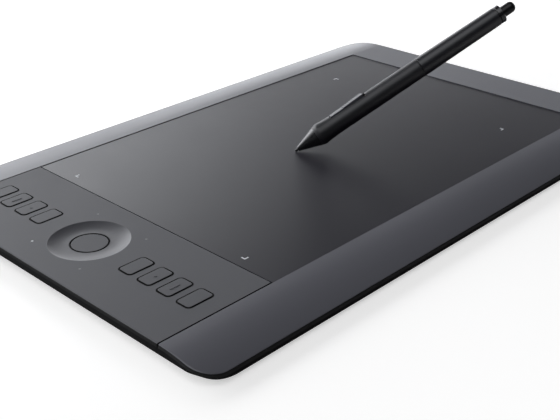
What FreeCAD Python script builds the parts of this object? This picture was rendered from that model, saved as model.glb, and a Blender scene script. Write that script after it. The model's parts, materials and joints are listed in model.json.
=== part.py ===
import FreeCAD, Part
import math
import os
import re
import Sketcher

# A pen tablet and its pen. The origin is the centre of the footprint at desk level: +X runs to
# the right along the long side, +Y to the back edge and +Z up. Sizes are in millimetres and
# degrees.

os.makedirs("parts", exist_ok=True)
doc = FreeCAD.newDocument("graphics_tablet")
sheet = doc.addObject("Spreadsheet::Sheet", "sizes")

SIZES = {
    # casing
    "case_length": 380.0,
    "case_width": 251.0,
    "case_top": 11.0,
    "edge_drop": 5.25,
    "strip_width": 30.1,
    "right_strip": 32.9,
    "panel_width": 69.0,
    "corner_radius": 13.0,
    "rim_radius": 1.2,
    "edge_round": 0.4,
    "skin": 1.8,
    "side_wall": 2.0,
    "floor_wall": 1.6,
    "side_lip": 6.0,
    "side_undercut": 6.0,
    "end_lip": 2.0,
    "end_undercut": 4.5,
    "seam": 0.7,
    "sheet_seam": 0.45,
    "lip_depth": 0.8,
    "lip_wall": 1.0,
    "lip_gap": 0.15,
    # feet
    "foot_height": 1.0,
    "foot_recess": 0.6,
    "foot_length": 36.0,
    "foot_width": 10.0,
    "foot_end": 30.0,
    "foot_edge": 53.5,
    # drawing surface and what lies under it
    "surface_recess": 0.3,
    "sheet_thickness": 0.7,
    "active_length": 224.0,
    "active_width": 140.0,
    "active_inset": 6.0,
    "mark_arm": 2.8,
    "mark_line": 0.8,
    "film_thickness": 0.3,
    "film_gap": 0.05,
    "sensor_thickness": 1.0,
    "shield_thickness": 0.4,
    "sensor_margin": 1.7,
    "shield_margin": 9.0,
    "rib_wall": 1.2,
    # control panel
    "controls_inset": 34.9,
    "controls_along": 0.8,
    "key_length": 15.5,
    "key_width": 9.0,
    "key_corner": 2.0,
    "key_end": 15.19,
    "key_pitch": 14.07,
    "key_rise": 0.25,
    "key_gap": 0.5,
    "key_flange": 1.0,
    "flange_thickness": 0.7,
    "flange_gap": 0.1,
    "key_travel": 0.4,
    "touch_gap": 0.05,
    "plunger_radius": 1.5,
    "mark_height": 0.2,
    "bar_mark_length": 6.0,
    "bar_mark_width": 1.2,
    "dot_mark_radius": 0.8,
    "ring_radius": 20.9,
    "dish_depth": 1.6,
    "dish_floor": 1.2,
    "dish_flat": 11.4,
    "button_radius": 10.0,
    "button_gap": 0.55,
    "ring_film_inner": 11.3,
    "ring_film_outer": 20.0,
    "ring_film": 0.25,
    "status_offset": 20.2,
    "pipe_radius": 0.65,
    "pipe_gap": 0.04,
    # boards and switches
    "board_left": 5.0,
    "board_right": 53.0,
    "board_inset": 11.4,
    "board_under": 5.0,
    "board_thickness": 1.0,
    "switch_side": 3.8,
    "switch_base": 0.5,
    "dome_height": 0.4,
    "lamp_height": 0.6,
    "lamp_length": 1.6,
    "lamp_width": 0.8,
    "chip_height": 1.2,
    "chip_side": 10.0,
    "chip_column": 13.0,
    "chip_pitch": 26.0,
    "ribbon_start": 26.0,
    "ribbon_width": 15.5,
    "ribbon_thickness": 0.2,
    "socket_length": 3.0,
    "socket_height": 0.8,
    "post_radius": 2.5,
    "post_left": 10.0,
    "post_right": 50.0,
    "post_inset": 14.0,
    # screws
    "screw_radius": 0.95,
    "bore_radius": 1.0,
    "head_radius": 2.0,
    "head_height": 1.2,
    "head_gap": 0.3,
    "boss_radius": 2.5,
    "boss_joint": 4.6,
    "screw_reach": 2.8,
    "strip_screw_end": 25.0,
    "strip_screw_edge": 15.5,
    "panel_screw_left": 12.0,
    "panel_screw_right": 59.0,
    "panel_screw_inset": 6.4,
    # ports on the left edge
    "port_along": 45.0,
    "port_width": 7.5,
    "port_height": 2.4,
    "port_length": 5.6,
    "port_wall": 0.3,
    "port_floor": 0.6,
    "port_gap": 0.15,
    "power_inset": 20.4,
    "power_length": 7.0,
    "power_height": 1.5,
    "power_floor": 1.1,
    "power_rise": 0.3,
    "power_travel": 0.4,
    # battery and radio bays along the back edge
    "bay_inset": 28.5,
    "bay_depth": 21.0,
    "battery_inset": 130.0,
    "battery_length": 70.0,
    "battery_height": 3.6,
    "battery_corner": 2.0,
    "module_inset": 60.0,
    "module_length": 34.0,
    "module_height": 2.8,
    "bay_gap": 0.5,
    "cover_thickness": 1.2,
    "cover_gap": 0.12,
    "tongue_reach": 1.0,
    "tongue_height": 0.5,
    "grip_length": 12.0,
    "grip_pitch": 1.8,
    "grip_line": 0.8,
    "grip_depth": 0.25,
    # pen: distances run from the nib tip along the pen
    "nib_across": -4.94,
    "nib_along": 1.5,
    "nib_gap": 0.05,
    "pen_heading": -29.51,
    "pen_lean": 60.69,
    "pen_roll": 168.0,
    "pen_length": 156.5,
    "nib_radius": 0.8,
    "nib_length": 24.0,
    "nib_clearance": 0.1,
    "nib_travel": 0.4,
    "nose_start": 2.0,
    "nose_end": 15.4,
    "nose_front_radius": 1.4,
    "nose_back_radius": 5.95,
    "shoulder_start": 17.7,
    "shoulder_end": 19.1,
    "shoulder_radius": 6.8,
    "flare_radius": 94.0,
    "waist_station": 31.0,
    "waist_radius": 6.1,
    "grip_end": 89.3,
    "grip_radius": 6.0,
    "barrel_end": 144.1,
    "barrel_radius": 5.6,
    "collar_end": 147.7,
    "collar_radius": 5.5,
    "tube_bore": 4.7,
    "frame_radius": 4.6,
    "frame_wall": 0.7,
    "frame_end": 140.0,
    "sleeve_end": 19.0,
    "ferrite_radius": 2.0,
    "ferrite_start": 10.0,
    "ferrite_length": 8.0,
    "coil_radius": 3.2,
    "coil_inset": 0.4,
    "sensor_length": 3.6,
    "pen_board_start": 31.0,
    "pen_board_end": 136.0,
    "pen_board_half": 3.2,
    "pen_board_thickness": 0.8,
    "eraser_radius": 3.4,
    "eraser_tip": 3.35,
    "eraser_round": 2.8,
    "eraser_inner": 141.5,
    "eraser_travel": 0.8,
    "eraser_clearance": 0.1,
    "rocker_start": 28.4,
    "rocker_split": 37.5,
    "rocker_end": 51.5,
    "rocker_half": 2.5,
    "rocker_under": 3.9,
    "rocker_front_top": 6.2,
    "rocker_back_top": 7.0,
    "rocker_gap": 0.4,
    "trunnion_radius": 0.5,
    "trunnion_reach": 0.6,
    "trunnion_gap": 0.05,
    "rib_pitch": 1.5,
    "press_front": 3.6,
    "press_back": 5.0,
    "press_radius": 0.8,
    "press_height": 1.5,
    "press_gap": 0.6,
}

for row, (alias, number) in enumerate(SIZES.items(), start=1):
    sheet.set(f"A{row}", alias.replace("_", " "))
    sheet.set(f"B{row}", str(number))
    sheet.setAlias(f"B{row}", alias)
doc.recompute()

WORD = re.compile(r"[a-z][a-z_]*")
PLANES = {
    "XY": FreeCAD.Rotation(),
    "YZ": FreeCAD.Rotation(FreeCAD.Vector(1, 1, 1), 120),
    "XZ": FreeCAD.Rotation(FreeCAD.Vector(1, 0, 0), 90),
}
AXES = {
    "x": FreeCAD.Rotation(FreeCAD.Vector(0, 1, 0), 90),
    "y": FreeCAD.Rotation(FreeCAD.Vector(1, 0, 0), -90),
    "z": FreeCAD.Rotation(),
}
# Cutting blocks run this far past what they cut, so that no two faces fall in one plane.
OVERRUN = "2"
nodes = {}


def with_sheet(text):
    """An expression whose size names point at the sheet."""
    return WORD.sub(lambda word: "sizes." + word.group() if word.group() in SIZES else word.group(), text)


def value(text):
    return float(sheet.evalExpression(with_sheet(text)))


def bind(thing, prop, text):
    thing.setExpression(prop, with_sheet(text))


def place(thing, x, y, z):
    for axis, text in zip("xyz", (x, y, z)):
        bind(thing, "Placement.Base." + axis, text)


def node(thing, name):
    """Makes an object one of the part's sub-parts, under its own name."""
    thing.Label = name
    nodes[name] = thing
    return thing


def box(name, x, y, z):
    """A block between two places on each axis."""
    solid = doc.addObject("Part::Box", name)
    for prop, (low, high) in zip(("Length", "Width", "Height"), (x, y, z)):
        bind(solid, prop, f"({high}) - ({low})")
    place(solid, x[0], y[0], z[0])
    return solid


def cylinder(name, radius, x, y, z, axis="z"):
    """A rod: the coordinate along its axis is a pair of ends, the other two are single places."""
    ends = {"x": x, "y": y, "z": z}[axis]
    solid = doc.addObject("Part::Cylinder", name)
    solid.Placement.Rotation = AXES[axis]
    bind(solid, "Radius", radius)
    bind(solid, "Height", f"({ends[1]}) - ({ends[0]})")
    place(solid, *[text if isinstance(text, str) else text[0] for text in (x, y, z)])
    return solid


def fuse(name, things):
    solid = doc.addObject("Part::MultiFuse", name)
    solid.Shapes = things
    return solid


def common(name, things):
    solid = doc.addObject("Part::MultiCommon", name)
    solid.Shapes = things
    return solid


def cut(name, base, things):
    solid = doc.addObject("Part::Cut", name)
    solid.Base = base
    solid.Tool = things[0] if len(things) == 1 else fuse(name + "_tools", things)
    return solid


def group(name, things):
    """Several like solids under one name."""
    solid = doc.addObject("Part::Compound", name)
    solid.Links = things
    return node(solid, name)


def fillet(name, base, radius, wanted):
    """Rounds the edges of which every sampled point passes the test."""
    doc.recompute()
    solid = doc.addObject("Part::Fillet", name)
    solid.Base = base
    size = value(radius)
    solid.Edges = [
        (index, size, size)
        for index, edge in enumerate(base.Shape.Edges, start=1)
        if all(wanted(point) for point in edge.discretize(5))
    ]
    return solid


def arc(here, there, radius):
    """The short arc between two points: its centre is on the left of the way there, or on the
    right where the radius is negative."""
    if radius < 0:
        here, there = there, here
    middle = (here + there) / 2
    half = (there - here) / 2
    rise = math.sqrt(max(radius ** 2 - half.Length ** 2, 0))
    centre = middle + FreeCAD.Vector(-half.y, half.x, 0).normalize() * rise
    first = math.atan2(here.y - centre.y, here.x - centre.x)
    last = math.atan2(there.y - centre.y, there.x - centre.x)
    circle = Part.Circle(centre, FreeCAD.Vector(0, 0, 1), abs(radius))
    return Part.ArcOfCircle(circle, first, last)


def constrain(sketch, kind, number, text, *where):
    index = sketch.addConstraint(Sketcher.Constraint(kind, *where, number))
    sketch.setExpression(f"Constraints[{index}]", with_sheet(text))


def draw(sketch, points):
    """Draws a closed outline, anticlockwise. A point is (across, up), or (across, up, radius)
    where an arc leads to the next one. One point with a radius alone is a circle."""
    if len(points) == 1:
        across, up, radius = points[0]
        centre = FreeCAD.Vector(value(across), value(up), 0)
        sketch.addGeometry(Part.Circle(centre, FreeCAD.Vector(0, 0, 1), value(radius)))
        constrain(sketch, "DistanceX", centre.x, across, -1, 1, 0, 3)
        constrain(sketch, "DistanceY", centre.y, up, -1, 1, 0, 3)
        constrain(sketch, "Radius", value(radius), radius, 0)
        return
    places = [FreeCAD.Vector(value(point[0]), value(point[1]), 0) for point in points]
    ends = []
    for index, point in enumerate(points):
        there = places[(index + 1) % len(points)]
        if len(point) == 2:
            sketch.addGeometry(Part.LineSegment(places[index], there))
            ends.append((1, 2))
        else:
            radius = value(point[2])
            sketch.addGeometry(arc(places[index], there, radius))
            ends.append((1, 2) if radius > 0 else (2, 1))
    for index, point in enumerate(points):
        start, end = ends[index]
        following = (index + 1) % len(points)
        sketch.addConstraint(Sketcher.Constraint("Coincident", index, end, following, ends[following][0]))
        constrain(sketch, "DistanceX", places[index].x, point[0], -1, 1, index, start)
        constrain(sketch, "DistanceY", places[index].y, point[1], -1, 1, index, start)
        if len(point) == 3:
            constrain(sketch, "Radius", abs(value(point[2])), f"abs({point[2]})", index)


def rounded(x, y, length, width, radius):
    """The outline of a rectangle with round corners."""
    left, right = f"({x}) - ({length})/2", f"({x}) + ({length})/2"
    front, back = f"({y}) - ({width})/2", f"({y}) + ({width})/2"
    return [
        (f"{left} + ({radius})", front), (f"{right} - ({radius})", front, radius),
        (right, f"{front} + ({radius})"), (right, f"{back} - ({radius})", radius),
        (f"{right} - ({radius})", back), (f"{left} + ({radius})", back, radius),
        (left, f"{back} - ({radius})"), (left, f"{front} + ({radius})", radius),
    ]


def rectangle(x, y):
    return [(x[0], y[0]), (x[1], y[0]), (x[1], y[1]), (x[0], y[1])]


def prism(name, plane, points, low, high):
    """An outline drawn out along the axis square to its plane, from low to high."""
    sketch = doc.addObject("Sketcher::SketchObject", name + "_outline")
    sketch.Placement.Rotation = PLANES[plane]
    axis, start = {"XY": ("z", low), "YZ": ("x", low), "XZ": ("y", high)}[plane]
    bind(sketch, "Placement.Base." + axis, start)
    draw(sketch, points)
    solid = doc.addObject("Part::Extrusion", name)
    solid.Base = sketch
    solid.DirMode = "Normal"
    solid.Solid = True
    bind(solid, "LengthFwd", f"({high}) - ({low})")
    return solid


def body(name):
    return node(doc.addObject("PartDesign::Body", name), name)


def sketch_in(part, name, role, offset, points):
    """A sketch on one of a body's own planes, lifted off it by offset."""
    sketch = part.newObject("Sketcher::SketchObject", name + "_sketch")
    plane = next(item for item in part.Origin.OriginFeatures if item.Role == role)
    sketch.AttachmentSupport = [(plane, "")]
    sketch.MapMode = "FlatFace"
    bind(sketch, "AttachmentOffset.Base.z", offset)
    draw(sketch, points)
    return sketch


def pad(part, name, points, low, high):
    feature = part.newObject("PartDesign::Pad", name)
    feature.Profile = sketch_in(part, name, "XY_Plane", low, points)
    bind(feature, "Length", f"({high}) - ({low})")
    return feature


def pocket(part, name, points, low, high, role="XY_Plane"):
    feature = part.newObject("PartDesign::Pocket", name)
    feature.Profile = sketch_in(part, name, role, high, points)
    bind(feature, "Length", f"({high}) - ({low})")
    return feature


def revolve(part, name, points):
    """Turns an outline of (radius, height) points about the body's own Z axis."""
    feature = part.newObject("PartDesign::Revolution", name)
    sketch = sketch_in(part, name, "XZ_Plane", "0", points)
    feature.Profile = sketch
    feature.ReferenceAxis = (sketch, ["V_Axis"])
    feature.Angle = 360
    return feature


# Places that the sizes fix.
LEFT = "-case_length/2"
RIGHT = "case_length/2"
BACK = "case_width/2"
SEAM_Y = "(case_width/2 - strip_width)"
SURFACE_LEFT = "(panel_width - case_length/2)"
SURFACE_RIGHT = "(case_length/2 - right_strip)"
ACTIVE_X = f"({SURFACE_LEFT} + active_inset + active_length/2)"
CONTROLS_X = f"({LEFT} + controls_inset)"
BOARD_HALF = f"({SEAM_Y} - board_inset)"
POWER_PLACE = f"({SEAM_Y} - power_inset)"
BATTERY_X = f"({RIGHT} - battery_inset)"
MODULE_X = f"({RIGHT} - module_inset)"
UNDERSIDE = "(case_top - skin)"
SURFACE = "(case_top - surface_recess)"
DECK = "(case_top - surface_recess - sheet_thickness)"
FLOOR = "(foot_height + floor_wall)"
FLOOR_MIDDLE = "(foot_height + floor_wall/2)"
CROWN_RADIUS = "((strip_width^2 + edge_drop^2)/(2*edge_drop))"
BOARD_TOP = "(board_under + board_thickness)"
SWITCH_TOP = "(board_under + board_thickness + switch_base + dome_height)"
SENSOR_TOP = "(case_top - skin - film_gap - film_thickness - film_gap)"
SENSOR_UNDER = f"({SENSOR_TOP} - sensor_thickness)"
SHIELD_UNDER = f"({SENSOR_UNDER} - shield_thickness)"
DISH_UNDER = "(case_top - dish_depth - dish_floor)"
ABOVE = f"case_top + {OVERRUN}"


def crown_height(drop, beyond):
    """Height of the crowned top, drop below its skin and beyond past the seam."""
    return f"(case_top - {CROWN_RADIUS} + sqrt(({CROWN_RADIUS} - ({drop}))^2 - ({beyond})^2))"


def crown(name, drop):
    """Everything under the top: flat between the strips, and an arc that falls to each edge."""
    out = f"case_width/2 + {OVERRUN}"
    edge = crown_height(drop, f"strip_width + {OVERRUN}")
    flat = f"case_top - ({drop})"
    radius = f"{CROWN_RADIUS} - ({drop})"
    points = [
        (f"-({out})", "0"), (out, "0"), (out, edge, radius),
        (SEAM_Y, flat), (f"-{SEAM_Y}", flat, radius), (f"-({out})", edge),
    ]
    return prism(name, "YZ", points, f"{LEFT} - {OVERRUN}", f"{RIGHT} + {OVERRUN}")


def plan_outline(inset, shorter="0"):
    """The rounded plan of the case, drawn in by inset and shortened at each end."""
    return rounded("0", "0", f"case_length - 2*({inset}) - 2*({shorter})", f"case_width - 2*({inset})",
                   f"corner_radius - ({inset})")


def plan(name, inset, low="0"):
    return prism(name, "XY", plan_outline(inset), low, ABOVE)


def leaning(name, inset):
    """The sides of the case, drawn in by inset: upright above a knee, while below it the ends
    lean in and take the round corners with them."""
    slope = "side_undercut/(side_lip - foot_height)"
    knee = f"(side_lip + ({inset})*(sqrt(1 + ({slope})^2) - 1)/({slope}))"
    outlines = []
    for level, height, shorter in (("desk", "0", f"({slope})*{knee}"), ("knee", knee, "0")):
        sketch = doc.addObject("Sketcher::SketchObject", f"{name}_{level}")
        bind(sketch, "Placement.Base.z", height)
        draw(sketch, plan_outline(inset, shorter))
        outlines.append(sketch)
    lean = doc.addObject("Part::Loft", name + "_lean")
    lean.Sections = outlines
    lean.Ruled = True
    lean.Solid = True
    return fuse(name, [lean, plan(name + "_upright", inset, knee)])


def keel(name, inset, wall):
    """Everything above the underside, which slopes in below a lip along the front and the back.
    Inset is the wall that is left outside it there, and wall the one that is left below it."""
    slope = "end_undercut/(end_lip - foot_height)"
    shift = f"({inset})*sqrt(1 + ({slope})^2)"
    out = f"case_width/2 - ({inset}) + {OVERRUN}"
    knee = f"end_lip + ({shift} - ({inset}) + {OVERRUN})/({slope})"
    bottom = f"foot_height + ({wall})"
    toe = f"case_width/2 - ({slope})*(end_lip - ({bottom})) - ({shift})"
    points = [
        (f"-({toe})", bottom), (toe, bottom), (out, knee),
        (out, ABOVE), (f"-({out})", ABOVE), (f"-({out})", knee),
    ]
    return prism(name, "YZ", points, "-case_length", "case_length")


def hull(name, inset, wall):
    """The case's underside and sides, or with an inset its inside."""
    return [leaning(name + "_sides", inset), keel(name + "_keel", inset, wall)]


def on_outline(point):
    """True on the upright faces of the case."""
    radius = value("corner_radius")
    across = abs(point.x) - value("case_length/2") + radius
    along = abs(point.y) - value("case_width/2") + radius
    if across > 0 and along > 0:
        return abs(math.hypot(across, along) - radius) < 0.01
    return abs(max(across, along) - radius) < 0.01


def on_rim(point):
    return on_outline(point) and point.z > value("case_top - edge_drop") - 0.1


# Where the screws stand: six through the strips, four through the control panel, and four that
# hold the main board.
SCREW_LINES = (f"strip_screw_edge - {BACK}", f"{BACK} - strip_screw_edge")
STRIP_SCREWS = [(x, y) for x in (f"{LEFT} + strip_screw_end", "0", f"{RIGHT} - strip_screw_end")
                for y in SCREW_LINES]
PANEL_SCREWS = [(f"{LEFT} + {x}", y) for x in ("panel_screw_left", "panel_screw_right")
                for y in (f"panel_screw_inset - {SEAM_Y}", f"{SEAM_Y} - panel_screw_inset")]
BOARD_SCREWS = [(f"{LEFT} + {x}", f"controls_along + {side}*({BOARD_HALF} - post_inset)")
                for x in ("post_left", "post_right") for side in (-1, 1)]

# Where the controls stand, counted from the back.
KEY_PLACES = [f"controls_along + {side}*({SEAM_Y} - key_end - {step}*key_pitch)"
              for side, steps in ((1, (0, 1, 2, 3)), (-1, (3, 2, 1, 0))) for step in steps]
STATUS_PLACES = [(f"{CONTROLS_X} + {x}*status_offset", f"controls_along + {y}*status_offset")
                 for x in (-1, 1) for y in (-1, 1)]
SCREW_TOP = "(boss_joint + screw_reach)"

# The outer moulding, one skin thick, from which the top case and the control panel are cut.
blank = common("case_blank", [crown("outer_crown", "0"), plan("outer_plan", "0")])
rounded_blank = fillet("rounded_blank", blank, "rim_radius", on_rim)
moulding = cut("moulding", rounded_blank, [crown("inner_crown", "skin")])


def bosses(name, places, low, high):
    """Screw pillars under a moulding, each from low to the height that high gives at its place."""
    return [cylinder(f"{name}_{index}", "boss_radius", x, y, (low, high(x, y)))
            for index, (x, y) in enumerate(places)]


def bores(name, places, radius, low, high):
    return [cylinder(f"{name}_{index}", radius, x, y, (low, high)) for index, (x, y) in enumerate(places)]


# Top case: front, right and back strips and the thin deck under the drawing surface.
lip_ring = cut("lip_ring", leaning("lip_outer", "side_wall + lip_gap"),
               [plan("lip_inner", "side_wall + lip_gap + lip_wall")])
lip_band = cut("lip_band", common("lip_stock", [
    lip_ring, crown("lip_top", "skin/2"), keel("lip_keel", "side_wall + lip_gap", "floor_wall + lip_gap")]),
               [crown("lip_bottom", "skin + lip_depth")])
strip_bosses = bosses("strip_boss", STRIP_SCREWS, "boss_joint",
                      lambda x, y: crown_height("skin/2", "strip_width - strip_screw_edge"))
panel_bay = box("panel_bay", (f"{LEFT} - {OVERRUN}", SURFACE_LEFT), (f"-{SEAM_Y}", SEAM_Y), ("0", ABOVE))
sheet_bay = box("sheet_bay", (f"{SURFACE_LEFT} - {OVERRUN}", SURFACE_RIGHT), (f"-{SEAM_Y}", SEAM_Y),
                (DECK, ABOVE))


def corner_marks(name, grow, low, high):
    """Four L shapes at the corners of the active area, their arms along its edges."""
    shapes = []
    for side, end in ((-1, -1), (1, -1), (1, 1), (-1, 1)):
        x = f"({ACTIVE_X} + {side}*active_length/2)"
        y = f"({end}*active_width/2)"
        for part, long_x, long_y in (("across", "mark_arm", "mark_line"), ("along", "mark_line", "mark_arm")):
            spans = []
            for corner, way, reach in ((x, side, long_x), (y, end, long_y)):
                inner, outer = f"{corner} - {way}*({reach} + ({grow}))", f"{corner} + {way}*({grow})"
                spans.append((inner, outer) if way > 0 else (outer, inner))
            shapes.append(box(f"{name}_{part}", spans[0], spans[1], (low, high)))
    return [fuse(f"{name}_{index // 2}", shapes[index:index + 2]) for index in range(0, len(shapes), 2)]


top_cut = cut("top_case_cut", fuse("top_case_stock", [moulding, lip_band] + strip_bosses),
              [panel_bay, sheet_bay] + corner_marks("deck_slot", "film_gap", "0", ABOVE)
              + bores("strip_bore", STRIP_SCREWS, "bore_radius", "0", SCREW_TOP))


def on_bay_edge(point):
    """True on the top edges of the strips where they meet the surface and the panel."""
    along_seam = abs(abs(point.y) - value(SEAM_Y)) < 0.01 and point.x > value(LEFT) + 3
    at_right = abs(point.x - value(SURFACE_RIGHT)) < 0.01
    return (along_seam or at_right) and abs(point.z - value("case_top")) < 0.01


node(fillet("top_case_round", top_cut, "edge_round", on_bay_edge), "top_case")

# Control panel: a flat moulding on the left that carries the dish, the keys and four lamps.
panel_blank = common("panel_blank", [
    moulding,
    box("panel_field", (f"{LEFT} - {OVERRUN}", f"{SURFACE_LEFT} - seam"),
        (f"seam - {SEAM_Y}", f"{SEAM_Y} - seam"), ("0", ABOVE)),
])


def on_panel_edge(point):
    """True on the top edges of the panel where it meets the strips and the surface."""
    along_seam = abs(abs(point.y) - value(f"{SEAM_Y} - seam")) < 0.01 and point.x > value(LEFT) + 3
    at_right = abs(point.x - value(f"{SURFACE_LEFT} - seam")) < 0.01
    return (along_seam or at_right) and abs(point.z - value("case_top")) < 0.01


panel_round = fillet("panel_round", panel_blank, "edge_round", on_panel_edge)
panel_stock = fuse("panel_stock", [
    panel_round,
    cylinder("dish_boss", "ring_radius + skin", CONTROLS_X, "controls_along",
             (DISH_UNDER, f"{UNDERSIDE} + skin/2")),
] + bosses("panel_boss", PANEL_SCREWS, "boss_joint", lambda x, y: f"{UNDERSIDE} + skin/2"))

dish = doc.addObject("PartDesign::Body", "dish_space")
DISH_CURVE = "((ring_radius - dish_flat)^2 + dish_depth^2)/(2*dish_depth)"
revolve(dish, "dish_turn", [
    ("0", "case_top - dish_depth"), ("dish_flat", "case_top - dish_depth", DISH_CURVE),
    ("ring_radius", "case_top"), ("ring_radius", ABOVE), ("0", ABOVE),
])
place(dish, CONTROLS_X, "controls_along", "0")
key_holes = [
    prism(f"key_hole_{index}", "XY",
          rounded(CONTROLS_X, y, "key_length + 2*key_gap", "key_width + 2*key_gap",
                  "key_corner + key_gap"), "0", ABOVE)
    for index, y in enumerate(KEY_PLACES, start=1)
]
node(cut("control_panel_cut", panel_stock, [
    dish,
    cylinder("button_hole", "button_radius", CONTROLS_X, "controls_along", ("0", ABOVE)),
] + key_holes
    + bores("pipe_hole", STATUS_PLACES, "pipe_radius + pipe_gap", "0", ABOVE)
    + bores("panel_bore", PANEL_SCREWS, "bore_radius", "0", SCREW_TOP)), "control_panel")

# Drawing surface: a textured plastic sheet that lies in the top case, with windows for the
# four corner marks.
drawing_sheet = box("drawing_sheet", (SURFACE_LEFT, f"{SURFACE_RIGHT} - sheet_seam"),
                    (f"sheet_seam - {SEAM_Y}", f"{SEAM_Y} - sheet_seam"), (DECK, SURFACE))
node(cut("drawing_surface_cut", drawing_sheet, corner_marks("sheet_slot", "film_gap", "0", ABOVE)),
     "drawing_surface")

# Corner marks: light guides that shine through the sheet, each over its own lamp.
group("corner_light_guides", corner_marks("light_guide", "0", UNDERSIDE, SURFACE))
group("corner_lamps", [
    box(f"corner_lamp_{index}", (f"{x} - lamp_length/2", f"{x} + lamp_length/2"),
        (f"{y} - lamp_width/2", f"{y} + lamp_width/2"),
        (SENSOR_TOP, f"{UNDERSIDE} - film_gap"))
    for index, (x, y) in enumerate(
        (f"{ACTIVE_X} + {side}*(active_length - mark_arm)/2", f"{end}*(active_width - mark_line)/2")
        for side in (-1, 1) for end in (-1, 1))
])

# Touch film, digitiser board and its steel shield, one under the other below the deck.
pad(body("touch_film"), "touch_film_pad",
    rounded(ACTIVE_X, "0", "active_length - 2*mark_arm", "active_width - 2*mark_arm", "key_corner"),
    f"{SENSOR_TOP} + film_gap", f"{SENSOR_TOP} + film_gap + film_thickness")
SENSOR_X = (f"{SURFACE_LEFT} + sensor_margin", f"{SURFACE_RIGHT} - sensor_margin")
SENSOR_Y = (f"sensor_margin - {SEAM_Y}", f"{SEAM_Y} - sensor_margin")
pad(body("digitiser_board"), "digitiser_pad", rectangle(SENSOR_X, SENSOR_Y), SENSOR_UNDER, SENSOR_TOP)
pad(body("shield_plate"), "shield_pad",
    rectangle((f"{SENSOR_X[0]} + shield_margin", SENSOR_X[1]), SENSOR_Y), SHIELD_UNDER, SENSOR_UNDER)

# Bottom case: a tray with screw pillars, ribs under the shield, two bays and the port openings.
tray = cut("tray", common("tray_stock", hull("tray_outer", "0", "0") + [crown("tray_top", "skin")]),
           [common("tray_hollow", hull("tray_inner", "side_wall", "floor_wall"))])
RIB_LONG = (f"{SENSOR_X[0]} + shield_margin + rib_wall", f"{SENSOR_X[1]} - rib_wall")
RIB_SHORT = (f"{SENSOR_Y[0]} + rib_wall", f"{SENSOR_Y[1]} - rib_wall")
long_ribs = [
    box(f"long_rib_{index}", RIB_LONG, (f"{place_y} - rib_wall/2", f"{place_y} + rib_wall/2"),
        (FLOOR_MIDDLE, SHIELD_UNDER))
    for index, place_y in enumerate(("-active_width*0.45", "0", "active_width*0.45"))
]
short_ribs = [
    box(f"short_rib_{index}", (f"{place_x} - rib_wall/2", f"{place_x} + rib_wall/2"), RIB_SHORT,
        (FLOOR_MIDDLE, SHIELD_UNDER))
    for index, place_x in enumerate(f"{ACTIVE_X} + {part}*active_length" for part in (-0.4, -0.1, 0.2, 0.5))
]
case_pillars = bosses("case_pillar", STRIP_SCREWS + PANEL_SCREWS, FLOOR_MIDDLE, lambda x, y: "boss_joint")
board_posts = [cylinder(f"board_post_{index}", "post_radius", x, y, (FLOOR_MIDDLE, "board_under"))
               for index, (x, y) in enumerate(BOARD_SCREWS)]

BAYS = {"battery": (BATTERY_X, "battery_length"), "module": (MODULE_X, "module_length")}
BAY_FRONT = f"({BACK} - bay_inset)"
BAY_BACK = f"({BAY_FRONT} + bay_depth)"
COVER_TOP = "(foot_height + cover_thickness)"
TONGUE_LOW = "(foot_height + (cover_thickness - tongue_height)/2)"


def bay_walls(name, centre, length):
    """A low fence round a bay on three sides; the case wall is the fourth."""
    outside = (f"{centre} - {length}/2 - bay_gap - rib_wall", f"{centre} + {length}/2 + bay_gap + rib_wall")
    inside = (f"{centre} - {length}/2 - bay_gap", f"{centre} + {length}/2 + bay_gap")
    block = box(name + "_fence", outside, (f"{BAY_FRONT} - rib_wall", BAY_BACK),
                (FLOOR_MIDDLE, f"{COVER_TOP} + module_height"))
    space = box(name + "_fence_space", inside, (BAY_FRONT, f"{BAY_BACK} + {OVERRUN}"), ("0", ABOVE))
    return cut(name + "_walls", block, [space])


def bay_space(name, centre, length):
    """The opening in the floor, the way out under the back edge, and a groove on each side."""
    wide = (f"{centre} - {length}/2 - bay_gap", f"{centre} + {length}/2 + bay_gap")
    grooves = (f"{wide[0]} - tongue_reach - cover_gap", f"{wide[1]} + tongue_reach + cover_gap")
    return [
        box(name + "_opening", wide, (BAY_FRONT, BAY_BACK), ("0", f"{FLOOR} + 0.01")),
        box(name + "_way", wide, (BAY_FRONT, f"{BACK} + {OVERRUN}"), ("0", f"{COVER_TOP} + cover_gap")),
        box(name + "_groove", grooves, (BAY_FRONT, f"{BACK} + {OVERRUN}"),
            (f"{TONGUE_LOW} - cover_gap", f"{TONGUE_LOW} + tongue_height + cover_gap")),
    ]


FEET = [(x, y) for x in (f"{LEFT} + foot_end", "0", f"{RIGHT} - foot_end")
        for y in (f"foot_edge - {BACK}", f"{BACK} - foot_edge")]


def foot(name, x, y, grow, high):
    points = rounded(x, y, f"foot_length + 2*({grow})", f"foot_width + 2*({grow})", f"key_corner + ({grow})")
    return prism(name, "XY", points, "0", high)


PORT_Z = (f"{BOARD_TOP} + port_floor", f"{BOARD_TOP} + port_floor + port_height")
POWER_Z = (f"{BOARD_TOP} + power_floor", f"{BOARD_TOP} + power_floor + power_height")
POWER_Y = (f"{POWER_PLACE} - power_length/2", f"{POWER_PLACE} + power_length/2")


def widen(span, by):
    return (f"{span[0]} - {by}", f"{span[1]} + {by}")


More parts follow.
